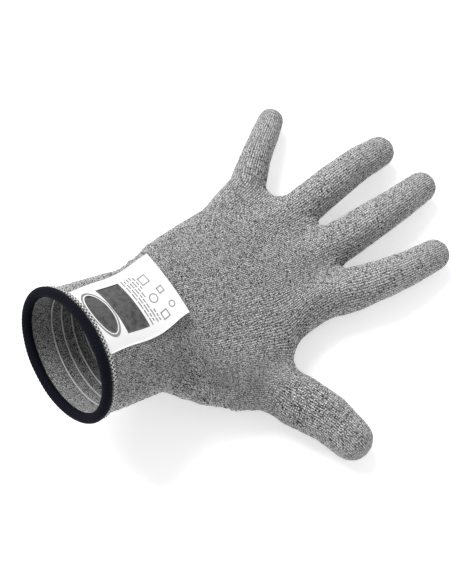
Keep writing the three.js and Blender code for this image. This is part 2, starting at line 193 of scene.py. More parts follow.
def node_points(node):
    mesh = frame["nodes"][node].data
    flat = np.empty(len(mesh.vertices) * 3, np.float32)
    mesh.vertices.foreach_get("co", flat)
    return flat.reshape(-1, 3).astype(float) / MM


def tip_centre(ray, joint):
    """The centre of a fingertip's dome: one radius behind the far end of its CAD node."""
    offsets = node_points(ray + "_distal") - joint
    apex = offsets[np.argmax(np.linalg.norm(offsets, axis=1))]
    return joint + unit(apex) * (np.linalg.norm(apex) - RADII[ray][-1])


def digit_root(ray):
    """Where a digit leaves the palm. The middle finger has no spread hinge, so its band says."""
    if ray != "middle":
        return JOINTS[ray + ("_swing" if ray == "thumb" else "_spread")]
    along = unit(JOINTS["middle_pip"] - JOINTS["middle_mcp"])
    behind = ((node_points("middle_root") - JOINTS["middle_mcp"]) @ along).min()
    return JOINTS["middle_mcp"] + along * behind


def digit_line(ray):
    bends = ("_mp", "_ip") if ray == "thumb" else ("_pip", "_dip")
    points = [digit_root(ray)] + [JOINTS[ray + bend] for bend in bends]
    tip = tip_centre(ray, points[-1])
    tip = tip - unit(tip - points[-1]) * TRIM[ray]
    return np.array(points + [tip]) + LEAN.get(ray, 0)


LINES = {ray: digit_line(ray) for ray in RAYS}


def level_direction(ray):
    step = LINES[ray][1] - LINES[ray][0]
    return unit(step * [1, 1, 0])


def knuckle_ball(ray):
    """The ball behind the crotch line that joins a digit to the palm."""
    radius = RADII[ray][0]
    return (*(LINES[ray][0] - level_direction(ray) * radius), radius)


def crotch_point(ray, other):
    return (LINES[ray][0] + LINES[other][0]) / 2


def cuff_axes():
    """The cuff's own frame: towards the hem, towards the little finger, and out of the back."""
    flat = math.cos(CUFF_PITCH)
    along = -np.array([flat * math.cos(CUFF_YAW), flat * math.sin(CUFF_YAW), -math.sin(CUFF_PITCH)])
    lateral = unit(np.cross(along, UP))
    return along, lateral, np.cross(lateral, along)


ALONG, LATERAL, DORSAL = cuff_axes()


def cuff_oval(distance):
    """The oval's two half sizes, and its middle's offset, at a distance from the wrist."""
    distance = np.asarray(distance, float)[..., None]
    flare = 1 - smooth_step(np.clip(distance / WAIST_AT, 0, 1))
    run = np.maximum(distance - WAIST_AT, 0) / (CUFF_LENGTH - WAIST_AT)
    sleeve = CUFF_WAIST + (CUFF_HEM - CUFF_WAIST) * run
    oval = sleeve + (CUFF_WRIST - sleeve) * flare
    return oval[..., :2], oval[..., 2]


def cuff_point(distance, angle, height=0.0):
    """A point over the cuff's oval. The angle runs from the back towards the little finger."""
    half, middle = cuff_oval(distance)
    half = half + np.asarray(height)[..., None]
    across = np.asarray(middle + half[..., 0] * np.sin(angle))[..., None] * LATERAL
    out = np.asarray(half[..., 1] * np.cos(angle))[..., None] * DORSAL
    return WRIST + np.asarray(distance)[..., None] * ALONG + across + out


# ---- The hand's surface ----


def palm_balls():
    balls = dict(PALM)
    for ray in RAYS:
        balls[ray + "_knuckle"] = knuckle_ball(ray)
    for ray, other in zip(RAYS, RAYS[1:4]):
        ahead = unit(level_direction(ray) + level_direction(other))
        centre = crotch_point(ray, other) + ahead * (WEB_AHEAD[ray] - WEB_RADIUS)
        balls[f"{ray}_web"] = (*centre, WEB_RADIUS)
    return {name: (np.array(ball[:3], float), float(ball[3])) for name, ball in balls.items()}


def palm_triangles():
    triangles = [(fan[0], *pair) for fan in FANS for pair in zip(fan[1:], fan[2:])]
    for ray, other in zip(RAYS, RAYS[1:4]):
        web = f"{ray}_web"
        triangles.append((f"{ray}_mid", f"{other}_mid", web))
        triangles.append((f"{ray}_mid", f"{ray}_knuckle", web))
        triangles.append((f"{other}_mid", f"{other}_knuckle", web))
    return triangles


BALLS = palm_balls()
TRIANGLES = [[BALLS[name] for name in corners] for corners in palm_triangles()]


def skin_edges():
    """The sides of the palm's triangles, each one once, as pairs of names."""
    edges = set()
    for a, b, c in palm_triangles():
        edges |= {tuple(sorted(pair)) for pair in ((a, b), (b, c), (c, a))}
    return edges


def bones():
    """Round cones: the sides of the palm's triangles, and each digit from its knuckle to its tip."""
    made = []
    for names in skin_edges():
        (first, first_radius), (second, second_radius) = (BALLS[name] for name in names)
        made.append((first, second, first_radius, second_radius))
    made.sort(key=lambda bone: (*bone[0], *bone[1]))
    for ray in RAYS:
        line, radii = LINES[ray], RADII[ray]
        centre, radius = BALLS[ray + "_knuckle"]
        made.append((centre, line[0], radius, radii[0]))
        made += zip(line, line[1:], radii, radii[1:])
    return made


BONES = bones()
FAR = 1e9  # no point is this far from the hand


def keep_nearer(best, away, distance, offset, length):
    """Notes, where this shape is nearer than the ones before, its distance and direction."""
    nearer = distance < best
    best[nearer] = distance[nearer]
    away[nearer] = offset[nearer] / np.maximum(length[nearer], 1e-9)[:, None]


def surface(points):
    """Each point's distance from the hand's surface, and the direction out of it."""
    best = np.full(len(points), FAR)
    away = np.zeros_like(points)
    for bone in BONES:
        keep_nearer(best, away, *beyond_bone(points, *bone))
    for triangle in TRIANGLES:
        keep_nearer(best, away, *beyond_triangle(points, *triangle))
    return best, away


def beyond_bone(points, start, end, start_radius, end_radius):
    """Each point's distance from a round cone, its offset from the middle, and the offset's length."""
    span = end - start
    share = np.clip((points - start) @ span / (span @ span), 0, 1)
    offset = points - start - share[:, None] * span
    length = np.linalg.norm(offset, axis=1)
    distance = length - start_radius - (end_radius - start_radius) * share
    return distance, offset, length


def beyond_triangle(points, first, second, third):
    """The same for a triangle as thick as the balls at its corners, for the points over it."""
    (a, ra), (b, rb), (c, rc) = first, second, third
    e1, e2 = b - a, c - a
    normal = unit(np.cross(e1, e2))
    height = (points - a) @ normal
    flat = points - a - height[:, None] * normal
    gram = np.linalg.inv([[e1 @ e1, e1 @ e2], [e1 @ e2, e2 @ e2]])
    s, t = gram @ np.array([flat @ e1, flat @ e2])
    distance = np.abs(height) - (ra + (rb - ra) * s + (rc - ra) * t)
    distance[(s < 0) | (t < 0) | (s + t > 1)] = FAR
    return distance, height[:, None] * normal, np.abs(height)


def onto_hand(points):
    distance, away = surface(points)
    return points - distance[:, None] * away


def onto_cuff(points):
    """Moves each point straight towards the cuff's axis, or away from it, onto the oval."""
    offset = points - WRIST
    distance = offset @ ALONG
    half, middle = cuff_oval(distance)
    x, y = offset @ LATERAL - middle, offset @ DORSAL
    scale = 1 / np.hypot(x / half[:, 0], y / half[:, 1])
    return points + ((scale - 1) * x)[:, None] * LATERAL + ((scale - 1) * y)[:, None] * DORSAL


DROP_HEIGHT = 45  # over the hand's middle, where a stitch starts its way down to the skin
DROP_ROUNDS = 14


def drop_onto_hand(points, sign, middle):
    """Moves each point straight down (or up, for sign -1) to the hand, or to its middle height."""
    points = points.copy()
    points[:, 2] = middle + sign * DROP_HEIGHT
    for _ in range(DROP_ROUNDS):
        distance, _away = surface(points)
        points[:, 2] -= sign * distance
        points[:, 2] = np.maximum(points[:, 2] * sign, middle * sign) * sign
    return points


# ---- Where each stitch starts out ----


def root_row(ray):
    """The row where a digit leaves the palm."""
    return THUMB_ROW if RAYS[ray] == "thumb" else CROTCH_ROW


def last_row(ray):
    """The row that closes a fingertip."""
    length = arc_lengths(LINES[RAYS[ray]])[-1] + RADII[RAYS[ray]][-1] * math.pi / 2
    return root_row(ray) + round(length / COURSE)


def even_angles(half, steps=2000):
    """Angles round an oval at equal arc lengths, from the little finger's side over the back."""
    angles = np.linspace(math.pi / 2, -math.pi / 2, steps)
    outline = np.stack([half[0] * np.sin(angles), half[1] * np.cos(angles)], 1)
    arc = arc_lengths(outline)
    return lambda share: np.interp(share, arc / arc[-1], angles)


angle_at = even_angles(CUFF_HEM)
EDGE_SHARES = np.append(0, np.cumsum(WALES)) / sum(WALES)


def cuff_start(ray, side, rows):
    share = np.linspace(EDGE_SHARES[ray], EDGE_SHARES[ray + 1], WALES[ray] + 1)
    angle = angle_at(share)
    if side == 1:
        angle = math.pi - angle
    distance = rows * (CUFF_LENGTH / HEM_ROW)
    return cuff_point(*np.broadcast_arrays(distance[:, None], angle[None, :]))


def side_of_root(ray, sign):
    """The level point beside a digit's root: sign 1 is the little finger's side."""
    left = np.cross(UP, level_direction(ray))
    return LINES[ray][0] + sign * left * RADII[ray][0]


def polyline(points, count):
    """Points at equal steps along a level polyline."""
    points = np.array([point[:2] for point in points], float)
    return along_line(points, np.linspace(0, arc_lengths(points)[-1], count))


LITTLE_SIDE = [(-35, 43.5), (2, 51.5)]  # level points that the wales at the hand's sides pass
INDEX_SIDE = [(0, -47), (14, -42)]
THUMB_SIDE = [(-45, -57)]


def guide(edge):
    """The level line of the wale at an edge of a ray, from the wrist to its crotch."""
    half, _height, middle = CUFF_WRIST
    wrist = WRIST + [5, 0, 0] + LATERAL * (middle + half * math.cos(math.pi * EDGE_SHARES[edge]))
    thumb_crotch = side_of_root("thumb", 1) + [4, 3, 0]
    if edge == 0:
        return polyline([wrist, *LITTLE_SIDE, side_of_root("little", 1)], CROTCH_ROW + 1)
    if edge < 4:
        between = (np.array(PALM[RAYS[edge - 1] + "_mid"]) + PALM[RAYS[edge] + "_mid"]) / 2
        crotch = crotch_point(RAYS[edge - 1], RAYS[edge])
        return polyline([wrist, between, crotch], CROTCH_ROW + 1)
    if edge == 4:
        lower = polyline([wrist, thumb_crotch], THUMB_ROW + 1)
        upper = [thumb_crotch, *INDEX_SIDE, side_of_root("index", -1)]
        upper = polyline(upper, CROTCH_ROW - THUMB_ROW + 1)
        return np.concatenate([lower, upper[1:]])
    return polyline([wrist, *THUMB_SIDE, side_of_root("thumb", -1)], THUMB_ROW + 1)


GUIDES = [guide(edge) for edge in range(6)]
MIDDLE_HEIGHT = ([-55, -30, 0], [28, 17, 14])  # of the hand, at places along it


def palm_start(ray, side, rows):
    left, right = GUIDES[ray][rows], GUIDES[ray + 1][rows]
    share = np.linspace(0, 1, WALES[ray] + 1)[None, :, None]
    level = left[:, None] * (1 - share) + right[:, None] * share
    middle = np.interp(level[..., 0].ravel(), *MIDDLE_HEIGHT)
    points = np.column_stack([level.reshape(-1, 2), middle])
    dropped = drop_onto_hand(points, 1 - 2 * side, middle)
    return dropped.reshape(*level.shape[:2], 3)


TIP_WIDTH = 0.6  # how fast a tip closes across the hand, beside how fast it closes in height


def digit_start(ray, side, count):
    """Rings round a digit's line, with the last ones closing over its tip."""
    line, radii = LINES[RAYS[ray]], RADII[RAYS[ray]]
    arc = arc_lengths(line)
    at = np.linspace(0, arc[-1] + radii[-1] * math.pi / 2, count)
    centre = along_line(line, at)
    piece = np.clip(np.searchsorted(arc, at, side="right") - 1, 0, 2)
    along = np.array([unit(line[i + 1] - line[i]) for i in piece])
    left = np.cross(UP, along)
    left /= np.linalg.norm(left, axis=1)[:, None]
    upright = np.cross(along, left)
    radius = np.interp(at, arc, radii)
    close = np.clip((at - arc[-1]) / radii[-1], 0, math.pi / 2)
    centre = centre + along * (radii[-1] * np.sin(close))[:, None]
    wide = (radius * np.cos(close * TIP_WIDTH))[:, None] * left
    high = (radius * np.cos(close) * (1 - 2 * side))[:, None] * upright
    angle = np.linspace(0, math.pi, WALES[ray] + 1)[None, :, None]
    return centre[:, None] + np.cos(angle) * wide[:, None] + np.sin(angle) * high[:, None]


def ray_start(ray, side):
    """The starting place of each stitch corner of one side of a ray, rows by wales."""
    cuff = cuff_start(ray, side, np.arange(HEM_ROW, CUFF_ROW + 1))
    palm = palm_start(ray, side, np.arange(0, root_row(ray)))
    share = (np.arange(1, -CUFF_ROW) / -CUFF_ROW)[:, None, None]
    bridge = cuff[-1] * (1 - share) + palm[0] * share
    digit = digit_start(ray, side, last_row(ray) - root_row(ray) + 1)
    return np.concatenate([cuff, bridge, palm, digit])


# ---- The grid of stitches ----


def corner_key(ray, side, wale, row):
    """What makes a stitch corner one and the same: edges, crotches and tips are shared."""
    if row == last_row(ray):
        side = 0
    if 0 < wale < WALES[ray]:
        return (ray, side, wale, row)
    edge = ray if wale == 0 else ray + 1
    crotch = CROTCH_ROWS[edge]
    if crotch is None or row > crotch:
        return ("digit edge", ray, wale, row)
    return ("shared edge", edge, 0 if row == crotch else side, row)


def knit_grid():
    """Numbers the corners: one table of rows by wales for each side of each ray."""
    numbers, tables = {}, {}
    for ray in range(5):
        rows, wales = range(HEM_ROW, last_row(ray) + 1), range(WALES[ray] + 1)
        for side in (0, 1):
            keys = [corner_key(ray, side, wale, row) for row in rows for wale in wales]
            table = [numbers.setdefault(key, len(numbers)) for key in keys]
            tables[ray, side] = np.array(table).reshape(len(rows), len(wales))
    return tables, len(numbers)


def knit_start(tables, count):
    """Each corner's starting place: the mean of the places that the rays sharing it give."""
    total, shares = np.zeros((count, 3)), np.zeros(count)
    for (ray, side), table in tables.items():
        places = ray_start(ray, side)
        np.add.at(total, table.ravel(), places.reshape(-1, 3))
        np.add.at(shares, table.ravel(), 1)
    return total / shares[:, None]


def corner_rows(tables, count):
    """Each corner's row, and how many rows it lies past the end of the fairing."""
    rows, past = np.zeros(count), np.zeros(count)
    for (ray, _side), table in tables.items():
        row = np.arange(HEM_ROW, HEM_ROW + len(table))[:, None]
        rows[table] = row
        past[table] = row - FAIR_END[ray]
    return rows, past


def grid_edges(tables):
    """The pairs of corners that are neighbours, each pair once."""
    pairs = []
    for table in tables.values():
        pairs.append(np.stack([table[:, :-1].ravel(), table[:, 1:].ravel()], 1))
        pairs.append(np.stack([table[:-1].ravel(), table[1:].ravel()], 1))
    return np.unique(np.sort(np.concatenate(pairs), axis=1), axis=0)


def smoothed(points, edges, strength):
    """Moves each point towards the mean of its neighbours."""
    count = len(points)
    ends = np.concatenate([edges[:, 0], edges[:, 1]])
    others = points[np.concatenate([edges[:, 1], edges[:, 0]])]
    sums = np.stack([np.bincount(ends, axis, count) for axis in others.T], 1)
    mean = sums / np.bincount(ends, minlength=count)[:, None]
    return points + strength * (mean - points)


def relaxed(points, edges, rows, past):
    """Evens the stitches out over the hand, with the hem held."""
    held = points[rows == HEM_ROW].copy()
    on_cuff, on_hand = rows <= CUFF_ROW, rows >= PALM_ROW
    for step in range(RELAX_ROUNDS):
        points = smoothed(points, edges, RELAX_STRENGTH)
        points[on_cuff] = onto_cuff(points[on_cuff])
        points[rows == HEM_ROW] = held
        if step % 3 == 2:
            points[on_hand] = onto_hand(points[on_hand])
    for _ in range(SETTLE_ROUNDS):
        points = smoothed(points, edges, SETTLE_STRENGTH)
        points[rows == HEM_ROW] = held
    fair = window(rows, FAIR_START, rows.max(), FAIR_RISE) * window(past, past.min(), 0, FAIR_FALL)
    for _ in range(FAIR_ROUNDS):
        points += fair[:, None] * (smoothed(points, edges, RELAX_STRENGTH) - points)
    at_wrist = bell(rows - WRIST_ROW, WRIST_SPREAD)[:, None]
    for _ in range(WRIST_ROUNDS):
        points += at_wrist * (smoothed(points, edges, WRIST_STRENGTH) - points)
    return points


BENCH_SOFTNESS = 1.5


def on_bench(points):
    """Keeps the underside on the bench, rounded off where it meets it."""
    points = points.copy()
    points[:, 2] = BENCH_SOFTNESS * np.logaddexp(0, points[:, 2] / BENCH_SOFTNESS)
    return points


def corner_normals(points, tables):
    """The direction out of the knit at each corner."""
    normals = np.zeros_like(points)
    for (_ray, side), table in tables.items():
        a, b, c, d = table[:-1, :-1], table[:-1, 1:], table[1:, 1:], table[1:, :-1]
        out = np.cross(points[c] - points[a], points[d] - points[b]) * (1 - 2 * side)
        for corner in (a, b, c, d):
            np.add.at(normals, corner.ravel(), out.reshape(-1, 3))
    return normals / np.maximum(np.linalg.norm(normals, axis=1), 1e-12)[:, None]


# ---- Unevenness ----

LATTICE_SIZE = 32
LATTICE = np.random.default_rng(7).uniform(-1, 1, (LATTICE_SIZE,) * 3)
SEED_STEP = 7.31  # moves each seed's noise to its own part of the lattice

GATHER_ROWS = (-34, 14, 16)  # first and last row of the bands, and the rows they fade over
GATHER_PITCH = 4.4
CREASE_ROWS = (-8, 26, 10)
CREASE_PITCH = 5.5
CREASE_LENGTH = 30
WRINKLE_PITCH = 4.2
WRINKLE_SPREAD = 4.5
WRINKLE_HEIGHT = 0.07


def noise(places, size, seed=0):
    """Smooth noise from -1 to 1, with features about "size" across."""
    at = places / size + seed * SEED_STEP
    cell = np.floor(at).astype(int)
    part = at - cell
    part = smooth_step(part)
    total = np.zeros(at.shape[:-1])
    for corner in np.ndindex(2, 2, 2):
        index = (cell + corner) % LATTICE_SIZE
        share = np.where(corner, part, 1 - part).prod(axis=-1)
        total += share * LATTICE[tuple(np.moveaxis(index, -1, 0))]
    return total


def window(value, low, high, soft):
    """1 between low and high, falling to 0 over "soft" on each side."""
    rise = np.clip((value - low) / soft + 1, 0, 1)
    fall = np.clip((high - value) / soft + 1, 0, 1)
    return smooth_step(rise) * smooth_step(fall)


def gathers(points, rows):
    """The bands that the elastic draws the cuff into."""
    wander = noise(points, 24, 1)
    bands = np.sin(rows * 2 * math.pi / GATHER_PITCH + 2.6 * wander)
    return window(rows, *GATHER_ROWS) * bands * (0.26 + 0.18 * noise(points, 9, 2))


def wrist_creases(points, rows):
    """The folds that run round the wrist, long beside their pitch."""
    across = points @ LATERAL / CREASE_LENGTH
    places = np.column_stack([across, rows / CREASE_PITCH, points[:, 2] / CREASE_LENGTH])
    return window(rows, *CREASE_ROWS) * noise(places, 1, 3)


def folds(points, rows):
    """How far the knit stands proud of an even skin: folds, soft dents, and bobbles of fluff."""
    dents = noise(points, 15, 4) + 0.5 * noise(points, 7, 5)
    bobbles = np.maximum(noise(points, 3.2, 6) - 0.35, 0)
    proud = gathers(points, rows) + 0.5 * wrist_creases(points, rows)
    return proud + 0.22 * dents + 0.25 * bobbles - crotch_creases(points)


CREASED_CROTCHES = [("ring", "middle"), ("middle", "index")]
CREASE_DEPTH = 1.1
CREASE_WIDTH = 1.3
CREASE_REACH = (-1, 3.5, 3)  # from ahead of the crotch to behind it, and how far it fades out


def crotch_creases(points):
    """The pucker that runs back from a crotch between two close fingers."""
    depth = np.zeros(len(points))
    for ray, other in CREASED_CROTCHES:
        ahead = unit(level_direction(ray) + level_direction(other))
        offset = points - crotch_point(ray, other)
        behind = window(-offset @ ahead, *CREASE_REACH)
        beside = bell(offset @ np.cross(UP, ahead), CREASE_WIDTH)
        depth += CREASE_DEPTH * behind * beside * (offset[:, 2] > 0)
    return depth


def knuckle_wrinkles(points):
    """Shallow folds across the back of each finger's bends."""
    raised = np.zeros(len(points))
    for ray in RAYS:
        line = LINES[ray]
        for i in (1, 2):
            along = unit(line[i + 1] - line[i - 1])
            offset = points - line[i]
            distance = offset @ along
            near = np.linalg.norm(offset - distance[:, None] * along, axis=1) < RADII[ray][i] + 4
            wave = bell(distance, WRINKLE_SPREAD) * np.sin(distance * 2 * math.pi / WRINKLE_PITCH)
            raised += np.where(near, WRINKLE_HEIGHT * wave, 0)
    return raised


# ---- Stitches ----


def split_wales(points, normals, tables):
    """Adds a crown between the two valleys of each wale, on the arc that the normals give."""
    pairs = {key: np.stack([t[:, :-1], t[:, 1:]], -1) for key, t in tables.items()}
    flat = np.sort(np.concatenate([pair.reshape(-1, 2) for pair in pairs.values()]), axis=1)
    unique, inverse = np.unique(flat, axis=0, return_inverse=True)
    a, b = unique.T
    chord = points[b] - points[a]
    turn = np.einsum("ij,ij->i", normals[b] - normals[a], chord) / 8
    facing = normals[a] + normals[b]
    facing /= np.linalg.norm(facing, axis=1)[:, None]
    crowns = (points[a] + points[b]) / 2 + facing * turn[:, None]
    fine, start = {}, 0
    for key, table in tables.items():
        size = pairs[key].shape[0] * pairs[key].shape[1]
        middle = inverse.ravel()[start : start + size].reshape(pairs[key].shape[:2]) + len(points)
        start += size
        woven = np.empty((table.shape[0], table.shape[1] * 2 - 1), int)
        woven[:, ::2], woven[:, 1::2] = table, middle
        fine[key] = woven
    return np.concatenate([points, crowns]), np.concatenate([normals, facing]), fine


def knit_surface():
    """The outer and inner points of the whole knit, and their tables."""
    tables, count = knit_grid()
    rows, past = corner_rows(tables, count)
    edges = grid_edges(tables)
    points = on_bench(relaxed(knit_start(tables, count), edges, rows, past))
    normals = corner_normals(points, tables)
    outer, facing, fine = split_wales(points, normals, tables)
    fine_rows = np.zeros(len(outer))
    for table in fine.values():
        fine_rows[table] = np.arange(HEM_ROW, HEM_ROW + len(table))[:, None]
    relief = np.where(np.arange(len(outer)) < count, -RELIEF, RELIEF)
    relief = relief * (1 + 0.35 * noise(outer, 2.3, 8))
    proud = folds(outer, fine_rows) + knuckle_wrinkles(outer)
    outer = outer + facing * (proud + relief)[:, None]
    outer[:, 2] = np.maximum(outer[:, 2], BENCH_GAP)
    inner = points + normals * (proud[:count] - WALL)[:, None]
    return {"outer": outer, "inner": inner, "fine": fine, "coarse": tables}


KNIT = knit_surface()


# ---- Meshes ----


def add_to_scene(name, data):
    made = bpy.data.objects.new(name, data)
    bpy.context.scene.collection.objects.link(made)
    return made


def make_object(name, points, faces, uvs=None, flat_sides=()):
    """A mesh object from points in millimetres, smooth but for faces with so many sides."""
    mesh = bpy.data.meshes.new(name)
    mesh.from_pydata((np.asarray(points) * MM).tolist(), [], faces)
    mesh.polygons.foreach_set("use_smooth", [len(face) not in flat_sides for face in faces])
    if uvs is not None:
        layer = mesh.uv_layers.new(name="Knit")
        layer.data.foreach_set("uv", np.asarray(uvs, np.float32).ravel())
    mesh.validate()
    return add_to_scene(name, mesh)


def dress(piece, material, body=None, nodes=()):
    """Gives a piece its material and slot, and the body and the CAD nodes that it stands for."""
    piece.data.materials.append(MATERIALS[material])
    if body:
        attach(piece, body)
    if nodes:
        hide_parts(*nodes)


def quads(table):
    return np.stack([table[:-1, :-1], table[:-1, 1:], table[1:, 1:], table[1:, :-1]], -1)


EDGE_WALES = np.append(0, np.cumsum(WALES)[:-1]).tolist()
PALM_WALES = 200  # added to the palm side's wale numbers, so that its yarns differ from the back's


def wall_faces(table, first_row, first_wale, step, turned):
    """The faces over a table of corners, each with its corners' wale and course numbers."""
    courses = first_row + np.arange(table.shape[0])
    wales = first_wale + np.arange(table.shape[1]) * step
    v, u = np.meshgrid(courses, wales, indexing="ij")
    corners = quads(table).reshape(-1, 4)
    places = np.stack([quads(u), quads(v)], -1).reshape(-1, 4, 2)
    if turned:
        corners, places = corners[:, ::-1], places[:, ::-1]
    yield from zip(corners.tolist(), places.tolist())


def rim_faces(fine, coarse, row, first_wale, turned):
    """The faces that close the wall of knit along one course."""
    for wale in range(len(coarse) - 1):
        corners = [fine[wale * 2 + i] for i in (2, 1, 0)] + [coarse[wale], coarse[wale + 1]]
        places = [(first_wale + wale + u, row) for u in (1, 0.5, 0, 0, 1)]
        yield (corners[::-1], places[::-1]) if turned else (corners, places)


def block_faces(ray, side, first, last):
    """One side of a ray between two of its courses, closed at both but for a fingertip."""
    part = slice(first - HEM_ROW, last - HEM_ROW + 1)
    fine = KNIT["fine"][ray, side][part]
    coarse = KNIT["coarse"][ray, side][part] + len(KNIT["outer"])
    wale = EDGE_WALES[ray] + side * PALM_WALES
    below = side == 1
    yield from wall_faces(fine, first, wale, 0.5, below)
    yield from wall_faces(coarse, first, wale, 1, not below)
    yield from rim_faces(fine[0], coarse[0], first, wale, below)
    if last != last_row(ray):
        yield from rim_faces(fine[-1], coarse[-1], last, wale, not below)


def knit_piece(name, blocks):
    """A closed piece of knit. Each block is a ray, its first row and its last one."""
    faces, uvs = [], []
    for ray, first, last in blocks:
        for side in (0, 1):
            for corners, places in block_faces(ray, side, first, last):
                faces.append(corners)
                uvs.extend(places)
    used, flat = np.unique(np.concatenate(faces), return_inverse=True)
    counts = np.cumsum([len(face) for face in faces])[:-1]
    faces = [part.tolist() for part in np.split(flat.ravel(), counts)]
    points = np.concatenate([KNIT["outer"], KNIT["inner"]])[used]
    made = make_object(name, points, faces, uvs, flat_sides=(5,))
    dress(made, "knit")
    return made


def sweep(name, centres, outs, radii, sides, closed=True):
    """A round tube along a curve. "outs" points away from the cuff at each centre."""
    steps = len(centres)
    ahead = np.roll(centres, -1, 0) - np.roll(centres, 1, 0)
    if not closed:
        ahead[0], ahead[-1] = centres[1] - centres[0], centres[-1] - centres[-2]
    ahead /= np.linalg.norm(ahead, axis=1)[:, None]
    outs = outs - np.einsum("ij,ij->i", outs, ahead)[:, None] * ahead
    outs /= np.linalg.norm(outs, axis=1)[:, None]
    beside = np.cross(ahead, outs)
    angle = full_turn(sides)[None, :, None]
    ring = np.cos(angle) * outs[:, None] + np.sin(angle) * beside[:, None]
    radii = np.broadcast_to(radii, (steps, sides))[..., None]
    points = (centres[:, None] + radii * ring).reshape(-1, 3)
    index = np.arange(steps * sides).reshape(steps, sides)
    ends = [] if closed else [index[0, ::-1].tolist(), index[-1].tolist()]
    index = np.column_stack([index, index[:, 0]])
    if closed:
        index = np.concatenate([index, index[:1]])
    faces = quads(index).reshape(-1, 4).tolist() + ends
    return make_object(name, points, faces)


# ---- Materials ----


class Shader:
    """A material's nodes, wired one value at a time around one Principled shader."""

    def __init__(self, name):
        self.material = bpy.data.materials.new(name)
        self.material.use_nodes = True
        self.tree = self.material.node_tree
        self.shader = self.tree.nodes["Principled BSDF"]

    def node(self, kind, inputs, **settings):
        made = self.tree.nodes.new(kind)
        for key, value in settings.items():
            setattr(made, key, value)
        for key, value in inputs.items():
            self.feed(made.inputs[key], value)
        return made

    def feed(self, socket, value):
        if isinstance(value, bpy.types.NodeSocket):
            self.tree.links.new(value, socket)
        else:
            socket.default_value = value

    def math(self, operation, a, b=0.0):
        return self.node("ShaderNodeMath", {0: a, 1: b}, operation=operation).outputs[0]

    def plus(self, a, b):
        return self.math("ADD", a, b)

    def minus(self, a, b):
        return self.math("SUBTRACT", a, b)

    def times(self, a, b):
        return self.math("MULTIPLY", a, b)

    def clamped(self, value):
        return self.math("MINIMUM", self.math("MAXIMUM", value, 0.0), 1.0)

    def steps(self, value, count=1.0):
        """The number of the step that a value lies in, with so many steps to a unit."""
        return self.math("FLOOR", self.times(value, count))

    def tint(self, share, dark, light):
        made = self.node("ShaderNodeMix", {0: share, 6: dark, 7: light}, data_type="RGBA")
        return made.outputs[2]

    def position(self):
        return self.node("ShaderNodeTexCoord", {}).outputs["Object"]

    def stitch(self):
        """The wale and course numbers of a point on the knit."""
        uv = self.node("ShaderNodeUVMap", {}, uv_map="Knit").outputs[0]
        split = self.node("ShaderNodeSeparateXYZ", {0: uv})
        return split.outputs[0], split.outputs[1]

    def vector(self, x, y, z=0.0):
        return self.node("ShaderNodeCombineXYZ", {0: x, 1: y, 2: z}).outputs[0]

    def noise(self, place, scale, detail=2.0):
        inputs = {"Vector": place, "Scale": scale, "Detail": detail}
        return self.node("ShaderNodeTexNoise", inputs).outputs[0]

    def scatter(self, place):
        return self.node("ShaderNodeTexWhiteNoise", {"Vector": place}).outputs[0]

    def bump(self, height, strength, distance):
        inputs = {"Height": height, "Strength": strength, "Distance": distance}
        self.finish(Normal=self.node("ShaderNodeBump", inputs).outputs[0])

    def finish(self, **inputs):
        for key, value in inputs.items():
            self.feed(self.shader.inputs[key.replace("_", " ")], value)
        return self.material


KNIT_DARK = (0.006, 0.006, 0.0065, 1)
KNIT_LIGHT = (0.88, 0.88, 0.88, 1)
KNIT_GREY = 0.62  # from the dark to the light
KNIT_VALLEY = 0.12  # the share of light that is left between two wales
KNIT_BUMP = 0.00022
LEG_RISE = 0.55  # courses that a stitch's legs fall behind from its middle to its sides
PAINTED_LIGHT_ROW = 70  # painted light: from here to the fingertips the knit's colour is painted a little lighter
PAINTED_LIGHT_RATE = 0.02


def stitch_shape(shader, u, v):
    """The course that a place's yarn belongs to, and how high the yarn stands there."""
    arm = shader.minus(shader.times(shader.math("FRACT", u), 2.0), 1.0)
    arm = shader.math("ABSOLUTE", arm)
    course = shader.plus(v, shader.times(arm, LEG_RISE))
    leg = shader.math("SINE", shader.times(course, 2 * math.pi))
    leg = shader.plus(shader.times(leg, 0.5), 0.5)
    crown = shader.minus(1.0, shader.times(arm, arm))
    return course, shader.times(crown, shader.plus(shader.times(leg, 0.55), 0.45))


def heather_grey(shader, u, v, course):
    """The yarns' own greys: single plies, loops, streaks along the wales, and soft clouds; and painted
    light that makes the knit lighter towards the fingertips.
    """
    plies = shader.vector(shader.steps(u, 4.0), shader.steps(course, 3.0), 9.0)
    loop = shader.vector(shader.steps(u), shader.steps(course))
    half_loop = shader.vector(shader.steps(u, 2.0), shader.steps(course), 5.0)
    # Painted light: the colour grows lighter past that row towards the fingertips, where the light
    # falls brighter, and stays darker before it.
    painted_light = shader.times(shader.minus(v, PAINTED_LIGHT_ROW), PAINTED_LIGHT_RATE)
    shares = [
        (shader.scatter(plies), 2.0),
        (shader.scatter(loop), 0.2),
        (shader.scatter(half_loop), 0.2),
        (shader.noise(shader.vector(u, shader.times(v, 0.16)), 0.9), 0.2),
        (shader.noise(shader.position(), 46.0, 3.0), 0.2),
        (shader.clamped(painted_light), 0.22),
    ]
    grey = KNIT_GREY
    for value, share in shares:
        grey = shader.plus(grey, shader.times(shader.minus(value, 0.5), share))
    return shader.clamped(grey)


